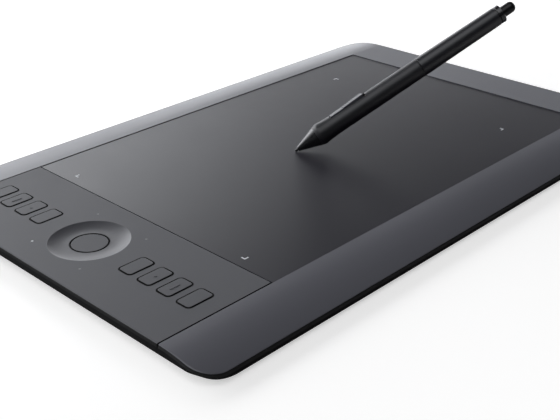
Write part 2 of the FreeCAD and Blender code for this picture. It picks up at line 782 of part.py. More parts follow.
openings = [
    box("port_opening", (f"{LEFT} - {OVERRUN}", f"{LEFT} + port_length + {OVERRUN}"),
        ("port_along - port_width/2 - port_gap", "port_along + port_width/2 + port_gap"),
        (f"{PORT_Z[0]} - port_gap", ABOVE)),
    box("power_opening", (f"{LEFT} - {OVERRUN}", f"{LEFT} + side_wall + {OVERRUN}"),
        widen(POWER_Y, "flange_gap"), widen(POWER_Z, "flange_gap")),
]
tray_cuts = (
    openings
    + [foot(f"foot_seat_{index}", x, y, "flange_gap", "foot_height + foot_recess")
       for index, (x, y) in enumerate(FEET)]
    + bores("head_seat", STRIP_SCREWS + PANEL_SCREWS, "head_radius + lip_gap", "0",
            "foot_height + head_gap + head_height")
    + bores("case_clearance", STRIP_SCREWS + PANEL_SCREWS, "screw_radius + lip_gap", "0", ABOVE)
    + bores("board_bore", BOARD_SCREWS, "bore_radius", FLOOR, ABOVE)
)
for bay, (centre, length) in BAYS.items():
    tray_cuts += bay_space(bay + "_bay", centre, length)
tray_full = fuse("tray_full", [tray] + long_ribs + short_ribs + case_pillars + board_posts
                 + [bay_walls(bay + "_bay", *spec) for bay, spec in BAYS.items()])
node(cut("bottom_case_cut", tray_full, tray_cuts), "bottom_case")

# Rubber feet, each in a shallow seat.
group("rubber_feet", [foot(f"foot_{index}", x, y, "0", "foot_height + foot_recess")
                      for index, (x, y) in enumerate(FEET)])


# Bay covers: a plate with a tongue on each side that slides out over the back edge.
def cover(name, centre, length):
    half = f"({length}/2 + bay_gap - cover_gap)"
    depth = (f"{BAY_FRONT} + cover_gap", f"{BACK} - seam")
    plate = box(name + "_plate", (f"{centre} - {half}", f"{centre} + {half}"), depth,
                ("foot_height", COVER_TOP))
    tongue = box(name + "_tongue", (f"{centre} - {half} - tongue_reach", f"{centre} + {half} + tongue_reach"),
                 depth, (TONGUE_LOW, f"{TONGUE_LOW} + tongue_height"))
    shaped = common(name + "_shaped", [
        fuse(name + "_stock", [plate, tongue]),
        keel(name + "_keel", "0", "0"),
    ])
    grips = []
    for index in range(4):
        line = f"{BAY_BACK} - {index + 1}*grip_pitch"
        grips.append(box(f"{name}_grip_{index}", (f"{centre} - grip_length/2", f"{centre} + grip_length/2"),
                         (f"{line} - grip_line", line), ("0", "foot_height + grip_depth")))
    return node(cut(name + "_cut", shaped, grips), name)


cover("battery_cover", BATTERY_X, "battery_length")
cover("module_cover", MODULE_X, "module_length")

# Battery pack and radio module, each in its bay above the cover.
BAY_FLOOR = f"({COVER_TOP} + cover_gap)"
BAY_SPAN = (f"{BAY_FRONT} + bay_gap", f"{BAY_BACK} - bay_gap")
pad(body("battery"), "battery_pad",
    rounded(BATTERY_X, f"{BAY_FRONT} + bay_depth/2", "battery_length", "bay_depth - 2*bay_gap",
            "battery_corner"),
    BAY_FLOOR, f"{BAY_FLOOR} + battery_height")
module = body("radio_module")
pad(module, "module_board",
    rectangle((f"{MODULE_X} - module_length/2", f"{MODULE_X} + module_length/2"), BAY_SPAN),
    BAY_FLOOR, f"{BAY_FLOOR} + board_thickness")
pad(module, "module_can",
    rounded(MODULE_X, f"{BAY_FRONT} + bay_depth/2", "module_length*0.6", "bay_depth*0.6", "mark_line"),
    f"{BAY_FLOOR} + board_thickness", f"{BAY_FLOOR} + module_height")

# Main board under the control panel, with its chips, switches and lamps.
BOARD_X = (f"{LEFT} + board_left", f"{LEFT} + board_right")
BOARD_Y = (f"controls_along - {BOARD_HALF}", f"controls_along + {BOARD_HALF}")
board = body("main_board")
pad(board, "main_board_pad", rectangle(BOARD_X, BOARD_Y), "board_under", BOARD_TOP)
for index, (x, y) in enumerate(BOARD_SCREWS):
    pocket(board, f"main_board_hole_{index}", [(x, y, "screw_radius + lip_gap")],
           f"board_under - {OVERRUN}", BOARD_TOP)
# The chips' sides, and how far along the board each one sits.
CHIPS = [
    ("chip_side", "chip_pitch"), ("chip_side*0.8", "-chip_side*0.4"), ("chip_side*0.7", "-chip_pitch*1.4"),
]
group("board_chips", [
    box(f"chip_{index}", (f"{LEFT} + chip_column - {side}/2", f"{LEFT} + chip_column + {side}/2"),
        (f"controls_along + ({y}) - {side}/2", f"controls_along + ({y}) + {side}/2"),
        (BOARD_TOP, f"{BOARD_TOP} + chip_height"))
    for index, (side, y) in enumerate(CHIPS)
])


def push_switch(name, x, y):
    """A square switch with a low metal dome."""
    return fuse(name, [
        box(name + "_base", (f"{x} - switch_side/2", f"{x} + switch_side/2"),
            (f"{y} - switch_side/2", f"{y} + switch_side/2"), (BOARD_TOP, f"{BOARD_TOP} + switch_base")),
        cylinder(name + "_dome", "plunger_radius", x, y, (f"{BOARD_TOP} + switch_base/2", SWITCH_TOP)),
    ])


group("key_switches", [push_switch(f"switch_{index}", CONTROLS_X, y)
                       for index, y in enumerate(KEY_PLACES + ["controls_along"])])
group("status_light_pipes", [
    cylinder(f"pipe_{index}", "pipe_radius", x, y, (f"{BOARD_TOP} + lamp_height + film_gap", "case_top"))
    for index, (x, y) in enumerate(STATUS_PLACES)
])
group("status_lamps", [
    box(f"status_lamp_{index}", (f"{x} - lamp_length/2", f"{x} + lamp_length/2"),
        (f"{y} - lamp_width/2", f"{y} + lamp_width/2"), (BOARD_TOP, f"{BOARD_TOP} + lamp_height"))
    for index, (x, y) in enumerate(STATUS_PLACES)
])

# Ring film: the touch electrode bonded under the dish, round the button.
ring_film = body("ring_sensor")
pad(ring_film, "ring_film_pad", [(CONTROLS_X, "controls_along", "ring_film_outer")],
    f"{DISH_UNDER} - ring_film", DISH_UNDER)
pocket(ring_film, "ring_film_hole", [(CONTROLS_X, "controls_along", "ring_film_inner")],
       f"{DISH_UNDER} - ring_film - {OVERRUN}", DISH_UNDER)

# Ribbon cable from the main board up to the digitiser, and the two sockets that hold its ends.
RIBBON_LOW = f"({BOARD_TOP} + (socket_height - ribbon_thickness)/2)"
RIBBON_HIGH = f"({SENSOR_UNDER} - (socket_height + ribbon_thickness)/2)"
RIBBON_X = (BOARD_X[1], f"{SENSOR_X[0]} + board_thickness")
RIBBON_Y = ("ribbon_start", "ribbon_start + ribbon_width")
RIBBON_BEND = f"(({RIBBON_X[1]}) - ({RIBBON_X[0]}))/4"
ribbon_path = [
    (RIBBON_X[0], RIBBON_LOW), (f"{RIBBON_X[0]} + {RIBBON_BEND}", RIBBON_LOW),
    (f"{RIBBON_X[1]} - {RIBBON_BEND}", RIBBON_HIGH), (RIBBON_X[1], RIBBON_HIGH),
]
ribbon_back = [(x, f"{z} + ribbon_thickness") for x, z in reversed(ribbon_path)]
node(prism("ribbon", "XZ", ribbon_path + ribbon_back, *RIBBON_Y), "ribbon_cable")
SOCKET_Y = widen(RIBBON_Y, "flange_thickness")
group("ribbon_sockets", [
    box("board_socket", (f"{RIBBON_X[0]} - socket_length", RIBBON_X[0]), SOCKET_Y,
        (BOARD_TOP, f"{BOARD_TOP} + socket_height")),
    box("sensor_socket", (RIBBON_X[1], f"{RIBBON_X[1]} + socket_length"), SOCKET_Y,
        (f"{SENSOR_UNDER} - socket_height", SENSOR_UNDER)),
])

# Socket for the lead: a folded steel shell on the main board and the tongue inside it.
PORT_X = (f"{LEFT} + flange_gap", f"{LEFT} + port_length")
PORT_Y = ("port_along - port_width/2", "port_along + port_width/2")
shell_space = box("shell_space", (f"{LEFT} - {OVERRUN}", f"{PORT_X[1]} - port_wall"),
                  (f"{PORT_Y[0]} + port_wall", f"{PORT_Y[1]} - port_wall"),
                  (f"{PORT_Z[0]} + port_wall", f"{PORT_Z[1]} - port_wall"))
shell_leg = box("shell_leg", (BOARD_X[0], PORT_X[1]), PORT_Y, (BOARD_TOP, f"{PORT_Z[0]} + port_wall/2"))
shell_block = fuse("shell_block", [box("shell_outer", PORT_X, PORT_Y, PORT_Z), shell_leg])
node(cut("usb_shell_cut", shell_block, [shell_space]), "usb_shell")
node(box("usb_tongue_block", (f"{PORT_X[0]} + plunger_radius", f"{PORT_X[1]} - port_wall"),
         (f"{PORT_Y[0]} + 3*port_wall", f"{PORT_Y[1]} - 3*port_wall"),
         (f"{PORT_Z[0]} + port_height/2 - port_wall", f"{PORT_Z[0]} + port_height/2 + port_wall")),
     "usb_tongue")

# Power button through the left wall, and the side switch that it presses.
POWER_SEAT = f"({LEFT} + side_wall + touch_gap)"
node(fuse("power_button_stock", [
    box("power_cap", (f"{LEFT} - power_rise", POWER_SEAT), POWER_Y, POWER_Z),
    box("power_flange", (POWER_SEAT, f"{POWER_SEAT} + flange_thickness"),
        widen(POWER_Y, "key_flange"), (POWER_Z[0], f"{POWER_Z[1]} + flange_gap")),
]), "power_button")
node(box("power_switch_block", (f"{POWER_SEAT} + flange_thickness + power_travel + touch_gap",
                                f"{LEFT} + post_left"),
         (f"{POWER_PLACE} - switch_side/2", f"{POWER_PLACE} + switch_side/2"), (BOARD_TOP, POWER_Z[1])),
     "power_switch")


# Screws: a flat head and a shank, point up for the case and point down for the board.
def screw(name, x, y, head, shank):
    return fuse(name, [cylinder(name + "_head", "head_radius", x, y, head),
                       cylinder(name + "_shank", "screw_radius", x, y, shank)])


HEAD_Z = ("foot_height + head_gap", "foot_height + head_gap + head_height")
group("case_screws", [
    screw(f"case_screw_{index}", x, y, HEAD_Z, (f"{HEAD_Z[1]} - head_height/2", f"{SCREW_TOP} - head_gap"))
    for index, (x, y) in enumerate(STRIP_SCREWS + PANEL_SCREWS)
])
group("board_screws", [
    screw(f"board_screw_{index}", x, y, (BOARD_TOP, f"{BOARD_TOP} + head_height"),
          (f"{FLOOR} + head_gap", f"{BOARD_TOP} + head_height/2"))
    for index, (x, y) in enumerate(BOARD_SCREWS)
])

# Eight keys in a column. Each has a cap in the panel, a flange that keeps it in, and a plunger.
# The second and seventh bear a raised bar, and the third and sixth a raised dot.
FLANGE_TOP = f"({UNDERSIDE} - flange_gap)"
FLANGE_LOW = f"({FLANGE_TOP} - flange_thickness)"
KEY_TOP = "(case_top + key_rise)"
PLUNGER_LOW = f"({SWITCH_TOP} + key_travel + touch_gap)"
for number, y in enumerate(KEY_PLACES, start=1):
    key = body(f"express_key_{number}")
    name = f"key_{number}"
    pad(key, name + "_flange",
        rounded(CONTROLS_X, y, "key_length + 2*key_flange", "key_width + 2*key_flange",
                "key_corner + key_flange"), FLANGE_LOW, FLANGE_TOP)
    pad(key, name + "_cap", rounded(CONTROLS_X, y, "key_length", "key_width", "key_corner"),
        FLANGE_TOP, KEY_TOP)
    pad(key, name + "_plunger", [(CONTROLS_X, y, "plunger_radius")], PLUNGER_LOW, FLANGE_LOW)
    doc.recompute()
    shaped = key.Tip
    top_edges = [
        f"Edge{index}" for index, edge in enumerate(shaped.Shape.Edges, start=1)
        if all(abs(point.z - value(KEY_TOP)) < 0.001 for point in edge.discretize(3))
    ]
    rounding = key.newObject("PartDesign::Fillet", name + "_rounding")
    rounding.Base = (shaped, top_edges)
    bind(rounding, "Radius", "edge_round")
    if number in (2, 7):
        pad(key, name + "_bar", rounded(CONTROLS_X, y, "bar_mark_length", "bar_mark_width",
                                      "bar_mark_width*0.4"),
            f"{KEY_TOP} - mark_height", f"{KEY_TOP} + mark_height")
    if number in (3, 6):
        pad(key, name + "_dot", [(CONTROLS_X, y, "dot_mark_radius")],
            f"{KEY_TOP} - mark_height", f"{KEY_TOP} + mark_height")

# Ring button: the round button in the middle of the dish.
BUTTON_TOP = "(case_top - dish_depth)"
BUTTON_EDGE = "(button_radius - button_gap)"
BUTTON_LOW = f"({DISH_UNDER} - flange_gap - flange_thickness)"
ring_button = body("ring_button")
revolve(ring_button, "ring_button_turn", [
    ("0", PLUNGER_LOW), ("plunger_radius", PLUNGER_LOW), ("plunger_radius", BUTTON_LOW),
    ("button_radius + key_flange", BUTTON_LOW),
    ("button_radius + key_flange", f"{DISH_UNDER} - flange_gap"),
    (BUTTON_EDGE, f"{DISH_UNDER} - flange_gap"), (BUTTON_EDGE, f"{BUTTON_TOP} - edge_round", "edge_round"),
    (f"{BUTTON_EDGE} - edge_round", BUTTON_TOP), ("0", BUTTON_TOP),
])
place(ring_button, CONTROLS_X, "controls_along", "0")

# Pen. Every piece is drawn with the nib tip at its origin, the pen along +Z and the side switch
# towards +X, and is then stood on the drawing surface at the pen's own slant, so that the round
# of its nib just clears the sheet.
NIB_RISE = "nib_radius*(1 - cos(pen_lean))"
PEN_POSE = FreeCAD.Placement(
    FreeCAD.Vector(value("nib_across"), value("nib_along"), value(f"{SURFACE} + nib_gap + {NIB_RISE}")),
    FreeCAD.Rotation(value("pen_heading"), value("pen_lean"), 0)
    * FreeCAD.Rotation(FreeCAD.Vector(0, 0, 1), value("pen_roll")))


def pen_piece(name, points):
    piece = body(name)
    revolve(piece, name + "_turn", points)
    return piece


def tube(inner, outer, low, high):
    return [(inner, low), (outer, low), (outer, high), (inner, high)]


CONE = "((nose_back_radius - nose_front_radius)/(nose_end - nose_start))"
NIB_BORE = "(nib_radius + nib_clearance)"
COIL_BORE = "(coil_radius + nib_clearance)"
SLEEVE = "(tube_bore - nib_clearance)"
pen_piece("pen_nose_cone", [
    (NIB_BORE, "nose_start"), ("nose_front_radius - nib_clearance", "nose_start"),
    ("nose_front_radius", "nose_start + nib_clearance"), ("nose_back_radius", "nose_end"),
    (SLEEVE, "nose_end"), (SLEEVE, "sleeve_end"), (COIL_BORE, "sleeve_end"),
    (COIL_BORE, "ferrite_start - nib_clearance"), (NIB_BORE, "ferrite_start - nib_clearance"),
])
grip = pen_piece("pen_grip", [
    ("tube_bore", "nose_end"), ("nose_back_radius", "nose_end"),
    (f"nose_back_radius + {CONE}*(shoulder_start - nose_end)", "shoulder_start",
     "(shoulder_end - shoulder_start)*2.4"),
    ("shoulder_radius", "shoulder_end", "-flare_radius"), ("waist_radius", "waist_station"),
    ("grip_radius", "grip_end - edge_round"), ("grip_radius - edge_round/2", "grip_end"),
    ("tube_bore", "grip_end"),
])
POCKET_S = ("rocker_start - rocker_gap", "rocker_end + 4*rocker_gap")
POCKET_HALF = "(rocker_half + rocker_gap)"
pocket(grip, "rocker_pocket", rectangle((f"-{POCKET_HALF}", POCKET_HALF), POCKET_S),
       "0", "rocker_back_top + 1", "YZ_Plane")
TRUNNION_X = "(rocker_under + trunnion_radius)"
trunnion_bore = grip.newObject("PartDesign::Pocket", "trunnion_bore")
trunnion_bore.Profile = sketch_in(grip, "trunnion_bore", "XZ_Plane", "0",
                                  [(TRUNNION_X, "rocker_split", "trunnion_radius + trunnion_gap")])
trunnion_bore.Midplane = True
bind(trunnion_bore, "Length", "2*(rocker_half + rocker_gap + trunnion_reach)")
pen_piece("pen_barrel", [
    ("tube_bore", "grip_end"), ("grip_radius - edge_round", "grip_end"),
    ("grip_radius", "grip_end + edge_round"), ("barrel_radius", "barrel_end - edge_round/2"),
    ("barrel_radius - edge_round/2", "barrel_end"), ("tube_bore", "barrel_end"),
])
ERASER_BORE = "(eraser_radius + eraser_clearance)"
pen_piece("pen_tail_collar", [
    (ERASER_BORE, "frame_end + flange_gap"), (SLEEVE, "frame_end + flange_gap"), (SLEEVE, "barrel_end"),
    ("collar_radius - edge_round", "barrel_end"), ("collar_radius - edge_round", "barrel_end + edge_round"),
    ("collar_radius", "barrel_end + 2*edge_round"),
    ("collar_radius + edge_round/4", "collar_end - edge_round"),
    ("collar_radius - edge_round", "collar_end"), (ERASER_BORE, "collar_end"),
])
frame = pen_piece("pen_frame", tube("frame_radius - frame_wall", "frame_radius",
                                    "sleeve_end + flange_gap", "frame_end"))
pocket(frame, "frame_slot", rectangle((f"-{POCKET_HALF}", POCKET_HALF), POCKET_S),
       "0", "rocker_back_top", "YZ_Plane")
FERRITE_END = "(ferrite_start + ferrite_length)"
pen_piece("pen_ferrite", tube("nib_radius + 2*nib_clearance", "ferrite_radius", "ferrite_start", FERRITE_END))
pen_piece("pen_coil", tube("ferrite_radius", "coil_radius", "ferrite_start + coil_inset",
                           f"{FERRITE_END} - coil_inset"))
INNER_FIT = "(frame_radius - frame_wall)"
SENSOR_START = "(nib_length + nib_travel + touch_gap)"
pen_piece("pen_pressure_sensor", [
    ("0", SENSOR_START), (INNER_FIT, SENSOR_START), (INNER_FIT, f"{SENSOR_START} + sensor_length"),
    ("0", f"{SENSOR_START} + sensor_length"),
])
ERASER_STOP = "(eraser_inner - eraser_travel - touch_gap)"
pen_piece("pen_eraser_sensor", [
    ("0", "pen_board_end + flange_gap"), (INNER_FIT, "pen_board_end + flange_gap"),
    (INNER_FIT, "frame_end"), ("eraser_radius - flange_gap", "frame_end"),
    ("eraser_radius - flange_gap", ERASER_STOP), ("0", ERASER_STOP),
])
pen_board = body("pen_board")
pad(pen_board, "pen_board_pad",
    rectangle(("-pen_board_thickness", "0"), ("-pen_board_half", "pen_board_half")),
    "pen_board_start", "pen_board_end")
side_switches = []
PRESS_STATIONS = ("rocker_start + press_front", "rocker_end - press_back")
for index, station in enumerate(PRESS_STATIONS):
    side_switches.append(box(f"side_switch_{index}", ("0", "press_height"), ("-press_height", "press_height"),
                             (f"{station} - press_radius*1.3", f"{station} + press_radius*1.3")))
group("pen_side_switches", side_switches)
pen_piece("pen_nib", [
    ("0", "0", "nib_radius"), ("nib_radius", "nib_radius"), ("nib_radius", "nib_length"), ("0", "nib_length"),
])
pen_piece("pen_eraser", [
    ("0", "eraser_inner"), ("eraser_radius", "eraser_inner"), ("eraser_radius", "collar_end + eraser_travel"),
    ("eraser_tip", "pen_length - eraser_round", "eraser_round"),
    ("eraser_tip - eraser_round", "pen_length"), ("0", "pen_length"),
])

# Side switch: a two-way rocker on two stub pins, its back half ribbed.
rocker_points = [
    ("rocker_under", "rocker_start"), ("rocker_under", "rocker_end"),
    ("rocker_back_top - edge_round", "rocker_end"), ("rocker_back_top", "rocker_end - edge_round"),
    ("rocker_front_top + edge_round/2", "rocker_split + edge_round"),
    ("rocker_front_top - edge_round/2", "rocker_split"),
    ("rocker_front_top", "rocker_split - edge_round"),
    ("rocker_front_top - edge_round/2", "rocker_start + edge_round"),
    ("rocker_front_top - edge_round*1.5", "rocker_start"),
]
rocker_block = prism("rocker_block", "XZ", rocker_points[::-1], "-rocker_half", "rocker_half")


def on_rocker_side(point):
    """True along the upper side edges of the rocker."""
    high = point.x > value("rocker_front_top - edge_round*1.5") - 0.001
    return abs(abs(point.y) - value("rocker_half")) < 0.001 and high


rocker_soft = fillet("rocker_soft", rocker_block, "edge_round", on_rocker_side)
RIB_COUNT = 8
rib_slots = []
for index in range(RIB_COUNT):
    floor = f"rocker_front_top + {index}*(rocker_back_top - rocker_front_top)/{RIB_COUNT}"
    start = f"rocker_split + {index + 1}*rib_pitch"
    rib_slots.append(box(f"rib_slot_{index}", (floor, "rocker_back_top + 1"),
                         ("-rocker_half*0.7", "rocker_half*0.7"), (start, f"{start} + edge_round")))
press_feet = [
    cylinder(f"press_foot_{index}", "press_radius",
             ("press_height + press_gap", "rocker_under + edge_round/2"), "0", station, axis="x")
    for index, station in enumerate(PRESS_STATIONS)
]
trunnions = cylinder("trunnions", "trunnion_radius", TRUNNION_X,
                     ("-(rocker_half + rocker_gap + trunnion_reach - touch_gap)",
                      "rocker_half + rocker_gap + trunnion_reach - touch_gap"), "rocker_split", axis="y")
rocker_cut = cut("rocker_cut", rocker_soft, rib_slots)
node(fuse("pen_side_rocker_stock", [rocker_cut, trunnions] + press_feet), "pen_side_rocker")

doc.recompute()
for name, piece in nodes.items():
    if name.startswith("pen_"):
        piece.Placement = PEN_POSE.multiply(piece.Placement)
doc.recompute()

for item in doc.Objects:
    if "Invalid" in item.State or "Error" in item.State:
        raise RuntimeError(f"{item.Label} failed: {item.State}")
for name, piece in nodes.items():
    if piece.Shape.isNull() or not piece.Shape.isValid():
        raise RuntimeError(f"{name} has no valid shape")
for name, piece in nodes.items():
    piece.Shape.exportStep(f"parts/{name}.step")
print(len(nodes), "sub-parts")
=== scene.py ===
import json
import math

import bmesh
import bpy
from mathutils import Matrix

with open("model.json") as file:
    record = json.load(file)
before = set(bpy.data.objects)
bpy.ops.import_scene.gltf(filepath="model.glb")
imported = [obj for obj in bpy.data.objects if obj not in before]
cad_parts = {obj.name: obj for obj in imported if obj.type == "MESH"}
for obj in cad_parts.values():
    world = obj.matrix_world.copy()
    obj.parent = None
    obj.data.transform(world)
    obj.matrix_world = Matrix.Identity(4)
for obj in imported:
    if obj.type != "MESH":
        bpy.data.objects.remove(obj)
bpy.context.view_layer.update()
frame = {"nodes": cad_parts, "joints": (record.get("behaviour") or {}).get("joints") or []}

# Camera. It stands off the tablet's front left corner, 27 degrees above the desk, as the
# photograph was taken. Place, turn and lens were fitted to the case's corners.
viewpoint = bpy.data.cameras.new("viewpoint")
viewpoint.sensor_width = 36.0
viewpoint.lens = 64.315
camera = bpy.data.objects.new("viewpoint", viewpoint)
camera.location = (-0.40035, -0.37788, 0.25055)
camera.rotation_euler = [math.radians(turn) for turn in (63.0361, 0.757, -45.5752)]
bpy.context.scene.collection.objects.link(camera)
bpy.context.scene.camera = camera
bpy.context.scene.view_settings.view_transform = "Standard"


# Card floor. A sheet of smooth pale card, six metres square, that the tablet stands on. It is
# as white to the lens as in the photograph, and still takes the tablet's shadow.
def linear(code):
    """The linear colour of an sRGB hex code."""
    shares = [int(code[start:start + 2], 16) / 255 for start in (0, 2, 4)]
    return [share / 12.92 if share <= 0.04045 else ((share + 0.055) / 1.055) ** 2.4
            for share in shares] + [1.0]


def add_node(tree, kind, sockets=None, **settings):
    """Adds a node. A socket gets a value, or a link from a socket or a node's first output."""
    added = tree.nodes.new("ShaderNode" + kind)
    for name, setting in settings.items():
        setattr(added, name, setting)
    for name, source in (sockets or {}).items():
        if isinstance(source, bpy.types.Node):
            source = source.outputs[0]
        if isinstance(source, bpy.types.NodeSocket):
            tree.links.new(source, added.inputs[name])
        else:
            added.inputs[name].default_value = source
    return added


CARD_HALF = 3.0
CARD_TO_LENS = 0.55
CARD_IN_GLOSS = 0.05
card_mesh = bmesh.new()
bmesh.ops.create_grid(card_mesh, x_segments=1, y_segments=1, size=CARD_HALF)
card_data = bpy.data.meshes.new("card_floor")
card_mesh.to_mesh(card_data)
card_mesh.free()
card_floor = bpy.data.objects.new("card_floor", card_data)
bpy.context.scene.collection.objects.link(card_floor)

# Smooth card: nearly white, a touch warm, with a broad soft sheen at a low angle.
card = bpy.data.materials.new("white card, smooth")
card.use_nodes = True
tree = card.node_tree
tree.nodes.clear()
paper = add_node(tree, "BsdfPrincipled", {
    "Base Color": linear("e0dedb"), "Roughness": 0.34, "IOR": 1.35})
path = add_node(tree, "LightPath")
in_gloss = add_node(tree, "Math", {
    0: path.outputs["Is Glossy Ray"], 1: path.outputs["Is Transmission Ray"]}, operation="MAXIMUM")
gloss_glow = add_node(tree, "Math", {0: in_gloss, 1: CARD_IN_GLOSS}, operation="MULTIPLY")
strength = add_node(tree, "Math", {
    0: path.outputs["Is Camera Ray"], 1: CARD_TO_LENS, 2: gloss_glow}, operation="MULTIPLY_ADD")
glow = add_node(tree, "Emission", {"Color": linear("ffffff"), "Strength": strength})
both = add_node(tree, "AddShader", {0: paper, 1: glow})
add_node(tree, "OutputMaterial", {"Surface": both})
card_data.materials.append(card)

# Studio. All the light comes from the world: a low strip of light round the back, a softbox
# above it at the left, and a soft fill high over the front left corner. The lens sees white.
world = bpy.data.worlds.new("studio")
bpy.context.scene.world = world
world.use_nodes = True
sky = world.node_tree
sky.nodes.clear()
heading = add_node(sky, "TexCoord").outputs["Generated"]
turned = add_node(sky, "SeparateXYZ", {0: heading})
right, back, up = turned.outputs
SOFTBOX_SIDE = (-0.12, 0.99, 0.0)
FILL_SIDE = (-0.48, -0.08, 0.87)
to_softbox = add_node(sky, "VectorMath", {0: heading, 1: SOFTBOX_SIDE}, operation="DOT_PRODUCT")
to_fill = add_node(sky, "VectorMath", {0: heading, 1: FILL_SIDE}, operation="DOT_PRODUCT")

# Each soft edge of a light: what it is measured on, where it starts and ends, and its strength
# at either end.
SOFT_EDGES = {
    "fill": (to_fill.outputs["Value"], 0.82, 0.97, 0.0, 1.9),
    "strip top": (up, 0.24, 0.05, 0.0, 4.3),
    "strip end": (back, -0.33, 0.17, 0.0, 1.0),
    "strip left": (right, 0.50, 0.64, 0.4, 1.0),
    "corner left": (right, 0.68, 0.78, 0.0, 0.65),
    "corner front": (back, 0.48, 0.60, 0.0, 1.0),
    "softbox top": (up, 0.60, 0.46, 0.0, 6.2),
    "softbox right": (to_softbox.outputs["Value"], 0.45, 1.0, 0.0, 1.0),
    "softbox foot": (up, 0.17, 0.34, 0.4, 1.0),
}
edges = {}
for name, (measured, start, stop, first, last) in SOFT_EDGES.items():
    edges[name] = add_node(sky, "MapRange", {
        "Value": measured, "From Min": start, "From Max": stop, "To Min": first, "To Max": last},
        interpolation_type="SMOOTHSTEP")

# The lights, joined in this order: each takes its edges or the lights before it.
LIGHTS = (
    ("corner", "corner left", "corner front", "MULTIPLY"),
    ("strip sides", "strip left", "corner", "ADD"),
    ("strip height", "strip top", "strip end", "MULTIPLY"),
    ("strip", "strip height", "strip sides", "MULTIPLY"),
    ("softbox height", "softbox top", "softbox foot", "MULTIPLY"),
    ("softbox", "softbox height", "softbox right", "MULTIPLY"),
    ("behind", "strip", "softbox", "MAXIMUM"),
    ("room", "behind", "fill", "ADD"),
)
for name, one, other, operation in LIGHTS:
    edges[name] = add_node(sky, "Math", {0: edges[one], 1: edges[other]}, operation=operation)

ROOM_IN_GLOSS = 0.02
path = add_node(sky, "LightPath")
in_gloss = add_node(sky, "Math", {
    0: path.outputs["Is Glossy Ray"], 1: path.outputs["Is Transmission Ray"]}, operation="MAXIMUM")
strength = add_node(sky, "Math", {
    0: in_gloss, 1: ROOM_IN_GLOSS, 2: edges["room"]}, operation="MULTIPLY_ADD")
room = add_node(sky, "Background", {"Color": linear("f9fbff"), "Strength": strength})
white = add_node(sky, "Background", {"Color": linear("ffffff"), "Strength": 1.0})
seen = add_node(sky, "MixShader", {0: path.outputs["Is Camera Ray"], 1: room, 2: white})
add_node(sky, "OutputWorld", {"Surface": seen})


# Bottom case and its two covers. Injection-moulded ABS, black all through: the tray shows as the
# dark band under the strips. The covers slide in grooves and close its bays from below.
def start_material(name):
    """A material with an empty tree, and the place of each point on the object in metres."""
    made = bpy.data.materials.new(name)
    made.use_nodes = True
    made.node_tree.nodes.clear()
    return made, made.node_tree, add_node(made.node_tree, "TexCoord").outputs["Object"]


def finish(material, sockets):
    """Closes a material with its shader."""
    shader = add_node(material.node_tree, "BsdfPrincipled", sockets)
    add_node(material.node_tree, "OutputMaterial", {"Surface": shader})
    return material


DRIFT_MM = 24.0
DRIFT_IN_GLOSS = 0.015
NOISE_LOW = 0.3
NOISE_HIGH = 0.7


def mould_grain(tree, place, colour, roughness, grain_mm, depth_mm, mottle=0.06):
    """Sockets of a surface with the fine grain of its mould, and a faint drift in its gloss."""
    grain = add_node(tree, "TexNoise", {
        "Vector": place, "Scale": 1000.0 / grain_mm, "Detail": 3.0, "Roughness": 0.6})
    drift = add_node(tree, "TexNoise", {
        "Vector": place, "Scale": 1000.0 / DRIFT_MM, "Detail": 4.0})
    gloss = add_node(tree, "MapRange", {
        "Value": drift, "From Min": NOISE_LOW, "From Max": NOISE_HIGH,
        "To Min": roughness - DRIFT_IN_GLOSS, "To Max": roughness + DRIFT_IN_GLOSS})
    base = linear(colour)
    tone = add_node(tree, "Mix", {
        0: grain, 6: [share * (1 - mottle) for share in base[:3]] + [1.0],
        7: [share * (1 + mottle) for share in base[:3]] + [1.0]}, data_type="RGBA")
    relief = add_node(tree, "Bump", {
        "Height": grain, "Distance": depth_mm / 1000.0, "Strength": 1.0})
    return {"Base Color": tone.outputs[2], "Roughness": gloss, "Normal": relief, "IOR": 1.5}


def moulded(name, colour, roughness, grain_mm, depth_mm, specular=0.5, mottle=0.06):
    """A moulded plastic or rubber of one colour."""
    made, tree, place = start_material(name)
    surface = mould_grain(tree, place, colour, roughness, grain_mm, depth_mm, mottle)
    return finish(made, surface | {"Specular IOR Level": specular})


def dress(material, *names):
    """Gives CAD nodes their material."""
    for name in names:
        frame["nodes"][name].material_slots[0].material = material


# Spark-eroded grain: dull, so the band looks nearly black and shows no highlight.
black_abs = moulded("black ABS, spark-eroded", "0e0e10", 0.78, grain_mm=0.35, depth_mm=0.012,
                    specular=0.12)
dress(black_abs, "bottom_case", "battery_cover", "module_cover")

# Feet. Six strips of black rubber, cut out by a die, stuck in shallow recesses in the floor of
# the tray, so that the tablet doesn't slide.

# Cut rubber: dull, and a little greyer than the plastic round it.
foot_rubber = moulded("black rubber, die cut", "1b1b1c", 0.82, grain_mm=0.5, depth_mm=0.02)
dress(foot_rubber, "rubber_feet")

# Battery. A lithium cell in a pouch of aluminium laminate, heat-sealed round its edge, lying
# in its bay above the longer cover.
CREASE_MM = 3.8
CREASE_DEPTH = 0.0002

# Laminate foil: bright silver, with soft creases that scatter its highlight.
laminate, tree, place = start_material("aluminium laminate, heat-sealed")
creases = add_node(tree, "TexNoise", {
    "Vector": place, "Scale": 1000.0 / CREASE_MM, "Detail": 4.0})
crease_relief = add_node(tree, "Bump", {"Height": creases, "Distance": CREASE_DEPTH})
finish(laminate, {
    "Base Color": linear("b9bcc0"), "Metallic": 1.0, "Roughness": 0.32, "Normal": crease_relief})
dress(laminate, "battery")

# Radio module. A small ABS shell with the aerial inside, plugged in above the shorter cover.
# Its mould was blasted fine, and the power button and the pen's sensors have the same finish.

# Fine-blasted ABS: black, with an even satin.
satin_abs = moulded("black ABS, satin", "1d1d20", 0.38, grain_mm=0.25, depth_mm=0.006)
dress(satin_abs, "radio_module")

